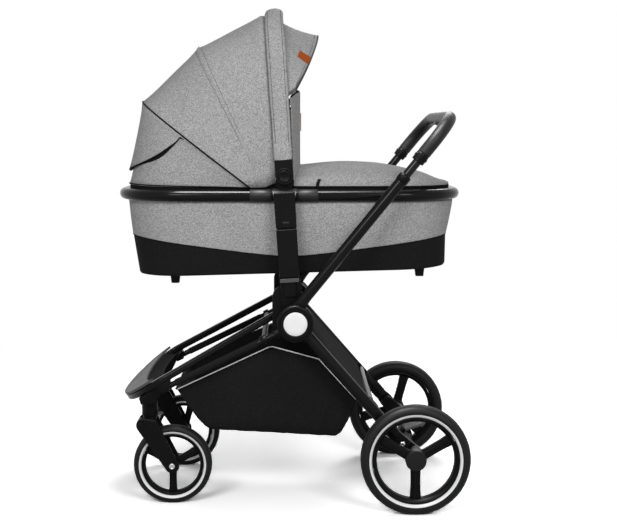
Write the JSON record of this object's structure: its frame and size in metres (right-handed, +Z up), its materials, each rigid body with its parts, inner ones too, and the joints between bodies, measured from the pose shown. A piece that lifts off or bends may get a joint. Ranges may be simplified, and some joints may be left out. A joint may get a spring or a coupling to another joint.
{
  "type": "three-in-one pram",
  "caption": "Folding pram with a hooded carrycot on a wheeled frame, swivelling front casters, a shopping basket and a telescoping push handle.",
  "frame": {"origin": "centre of the pram's footprint, on the floor", "axes": "+X from the front casters towards the push handle, +Y across to the far side, +Z up"},
  "size_m": [0.8548, 0.607, 1.2098],
  "materials": {
    "frame": "satin black",
    "plastic": "matte black",
    "grey_plastic": "matte grey",
    "tyre": "foam filled",
    "steel": "brushed",
    "reflector": "white",
    "leather": "leatherette",
    "melange": "grey melange weave",
    "black_cloth": "matte black weave",
    "mattress": "cotton over foam"
  },
  "bodies": {
    "chassis": {"front_frame": "frame", "footrest": "grey_plastic", "basket": "black_cloth", "front_cross_tube": "frame", "basket_rail_left": "frame", "basket_rail_right": "frame", "hub_bracket_left": "plastic", "hub_bracket_right": "plastic", "hub_cap_left": "plastic", "hub_cap_right": "plastic", "hub_disc_left": "reflector", "hub_disc_right": "reflector", "caster_socket_left": "plastic", "caster_socket_right": "plastic"},
    "rear_legs": {"rear_leg_left": "frame", "rear_leg_right": "frame", "rear_cross_brace": "frame"},
    "rear_axle": {"axle_beam": "frame"},
    "brake": {"brake_pedal": "plastic"},
    "rear_wheel_left": {"rear_tyre_left": "tyre", "rear_rim_left": "plastic"},
    "rear_wheel_right": {"rear_tyre_right": "tyre", "rear_rim_right": "plastic"},
    "swivel_lock_left_body": {"swivel_lock_left": "plastic"},
    "swivel_lock_right_body": {"swivel_lock_right": "plastic"},
    "caster_left": {"caster_yoke_left": "plastic"},
    "caster_right": {"caster_yoke_right": "plastic"},
    "caster_fork_left": {"caster_arm_left": "plastic"},
    "caster_fork_right": {"caster_arm_right": "plastic"},
    "front_wheel_left": {"front_tyre_left": "tyre", "front_rim_left": "plastic"},
    "front_wheel_right": {"front_tyre_right": "tyre", "front_rim_right": "plastic"},
    "handle_lower": {"handle_tube_left": "frame", "handle_tube_right": "frame"},
    "handle_upper": {"handle_inner": "frame", "handle_grip": "leather"},
    "handle_button_body": {"handle_button": "grey_plastic"},
    "trigger_left": {"height_trigger_left": "plastic"},
    "trigger_right": {"height_trigger_right": "plastic"},
    "carrycot": {"cot_rim": "frame", "cot_body": "melange", "cot_base": "black_cloth", "mattress": "mattress", "apron": "melange", "hood_panel_front": "melange", "hood_panel_middle": "melange", "hood_panel_rear": "melange", "cot_post_left": "plastic", "cot_post_right": "plastic"},
    "post_button_left_body": {"post_button_left": "grey_plastic"},
    "post_button_right_body": {"post_button_right": "grey_plastic"},
    "flap": {"wind_flap": "melange"},
    "hood_front": {"hood_bow": "plastic", "bow_sleeve": "melange"},
    "hood_rib_front_body": {"hood_rib_front": "steel"},
    "hood_rib_rear_body": {"hood_rib_rear": "steel"},
    "hood_button_left_body": {"hood_button_left": "plastic"},
    "hood_button_right_body": {"hood_button_right": "plastic"},
    "sun_visor": {"visor": "melange"}
  },
  "joints": [
    {"name": "leg_fold", "type": "hinge", "parent": "chassis", "child": "rear_legs", "pos_m": [0.0127, 0, 0.449], "axis": [0, 1, 0], "range_deg": [0, 60], "deforming": ["basket"]},
    {"name": "rear_suspension", "type": "hinge", "parent": "rear_legs", "child": "rear_axle", "pos_m": [0.2677, 0, 0.15818], "axis": [0, -1, 0], "range_deg": [0, 6], "stiffness_Nm_per_rad": 30, "springref_deg": -11.46},
    {"name": "brake_pedal_press", "type": "hinge", "parent": "rear_axle", "child": "brake", "pos_m": [0.2957, 0, 0.12918], "axis": [0, 1, 0], "range_deg": [0, 20]},
    {"name": "rear_wheel_left_spin", "type": "hinge", "parent": "rear_axle", "child": "rear_wheel_left", "pos_m": [0.2957, -0.2815, 0.12918], "axis": [0, 1, 0], "continuous": true},
    {"name": "rear_wheel_right_spin", "type": "hinge", "parent": "rear_axle", "child": "rear_wheel_right", "pos_m": [0.2957, 0.2815, 0.12918], "axis": [0, 1, 0], "continuous": true},
    {"name": "swivel_lock_left_slide", "type": "slide", "parent": "chassis", "child": "swivel_lock_left_body", "axis": [0, 0, 1], "range_m": [0, 0.005]},
    {"name": "swivel_lock_right_slide", "type": "slide", "parent": "chassis", "child": "swivel_lock_right_body", "axis": [0, 0, 1], "range_m": [0, 0.005]},
    {"name": "caster_left_swivel", "type": "hinge", "parent": "chassis", "child": "caster_left", "pos_m": [-0.3402, -0.175, 0.2146], "axis": [0, 0, 1], "continuous": true},
    {"name": "caster_right_swivel", "type": "hinge", "parent": "chassis", "child": "caster_right", "pos_m": [-0.3402, 0.175, 0.2146], "axis": [0, 0, 1], "continuous": true},
    {"name": "front_left_suspension", "type": "hinge", "parent": "caster_left", "child": "caster_fork_left", "pos_m": [-0.3594, -0.175, 0.19349], "axis": [0, -1, 0], "range_deg": [0, 8], "stiffness_Nm_per_rad": 30, "springref_deg": -8.59},
    {"name": "front_right_suspension", "type": "hinge", "parent": "caster_right", "child": "caster_fork_right", "pos_m": [-0.3594, 0.175, 0.19349], "axis": [0, -1, 0], "range_deg": [0, 8], "stiffness_Nm_per_rad": 30, "springref_deg": -8.59},
    {"name": "front_wheel_left_spin", "type": "hinge", "parent": "caster_fork_left", "child": "front_wheel_left", "pos_m": [-0.2848, -0.175, 0.09419], "axis": [0, 1, 0], "continuous": true},
    {"name": "front_wheel_right_spin", "type": "hinge", "parent": "caster_fork_right", "child": "front_wheel_right", "pos_m": [-0.2848, 0.175, 0.09419], "axis": [0, 1, 0], "continuous": true},
    {"name": "handle_fold", "type": "hinge", "parent": "chassis", "child": "handle_lower", "pos_m": [0.0127, 0, 0.449], "axis": [0, -1, 0], "range_deg": [0, 30]},
    {"name": "handle_telescope", "type": "slide", "parent": "handle_lower", "child": "handle_upper", "axis": [0.6334, 0, 0.7738], "range_m": [0, 0.19]},
    {"name": "handle_button_press", "type": "slide", "parent": "handle_upper", "child": "handle_button_body", "axis": [0.6334, 0, 0.7738], "range_m": [0, 0.0022], "stiffness_N_per_m": 500, "springref_m": -0.002},
    {"name": "trigger_left_pull", "type": "slide", "parent": "handle_upper", "child": "trigger_left", "axis": [-0.6334, 0, -0.7738], "range_m": [0, 0.006], "stiffness_N_per_m": 400, "springref_m": -0.003},
    {"name": "trigger_right_pull", "type": "slide", "parent": "handle_upper", "child": "trigger_right", "axis": [-0.6334, 0, -0.7738], "range_m": [0, 0.006], "stiffness_N_per_m": 400, "springref_m": -0.003},
    {"name": "cot_lift", "type": "slide", "parent": "chassis", "child": "carrycot", "axis": [-0.061, 0, 0.9981], "range_m": [0, 0.12]},
    {"name": "post_button_left_press", "type": "slide", "parent": "carrycot", "child": "post_button_left_body", "axis": [0, 1, 0], "range_m": [0, 0.002], "stiffness_N_per_m": 500, "springref_m": -0.002},
    {"name": "post_button_right_press", "type": "slide", "parent": "carrycot", "child": "post_button_right_body", "axis": [0, -1, 0], "range_m": [0, 0.002], "stiffness_N_per_m": 500, "springref_m": -0.002},
    {"name": "wind_flap_fold", "type": "hinge", "parent": "carrycot", "child": "flap", "pos_m": [0.0245, 0, 0.8145], "axis": [0, 1, 0], "range_deg": [0, 78], "deforming": ["wind_flap"]},
    {"name": "hood_fold", "type": "hinge", "parent": "carrycot", "child": "hood_front", "pos_m": [-0.0128, 0, 0.794], "axis": [0, -1, 0], "range_deg": [0, 62], "deforming": ["hood_panel_front", "hood_panel_middle", "hood_panel_rear"]},
    {"name": "hood_rib_front_fold", "type": "hinge", "parent": "carrycot", "child": "hood_rib_front_body", "pos_m": [-0.0128, 0, 0.794], "axis": [0, -1, 0], "range_deg": [0, 38.1]},
    {"name": "hood_rib_rear_fold", "type": "hinge", "parent": "carrycot", "child": "hood_rib_rear_body", "pos_m": [-0.0128, 0, 0.794], "axis": [0, -1, 0], "range_deg": [0, 15.1]},
    {"name": "hood_button_left_press", "type": "slide", "parent": "hood_front", "child": "hood_button_left_body", "axis": [0, 1, 0], "range_m": [0, 0.0022], "stiffness_N_per_m": 500, "springref_m": -0.002},
    {"name": "hood_button_right_press", "type": "slide", "parent": "hood_front", "child": "hood_button_right_body", "axis": [0, -1, 0], "range_m": [0, 0.0022], "stiffness_N_per_m": 500, "springref_m": -0.002},
    {"name": "visor_flip", "type": "hinge", "parent": "hood_front", "child": "sun_visor", "pos_m": [-0.02672, 0, 1.00354], "axis": [0, -1, 0], "range_deg": [0, 20], "deforming": ["visor"]}
  ],
  "couplings": [
    {"joint": "handle_fold", "follows": "leg_fold", "ratio": 0.5},
    {"joint": "hood_rib_front_fold", "follows": "hood_fold", "ratio": 0.613},
    {"joint": "hood_rib_rear_fold", "follows": "hood_fold", "ratio": 0.242}
  ]
}
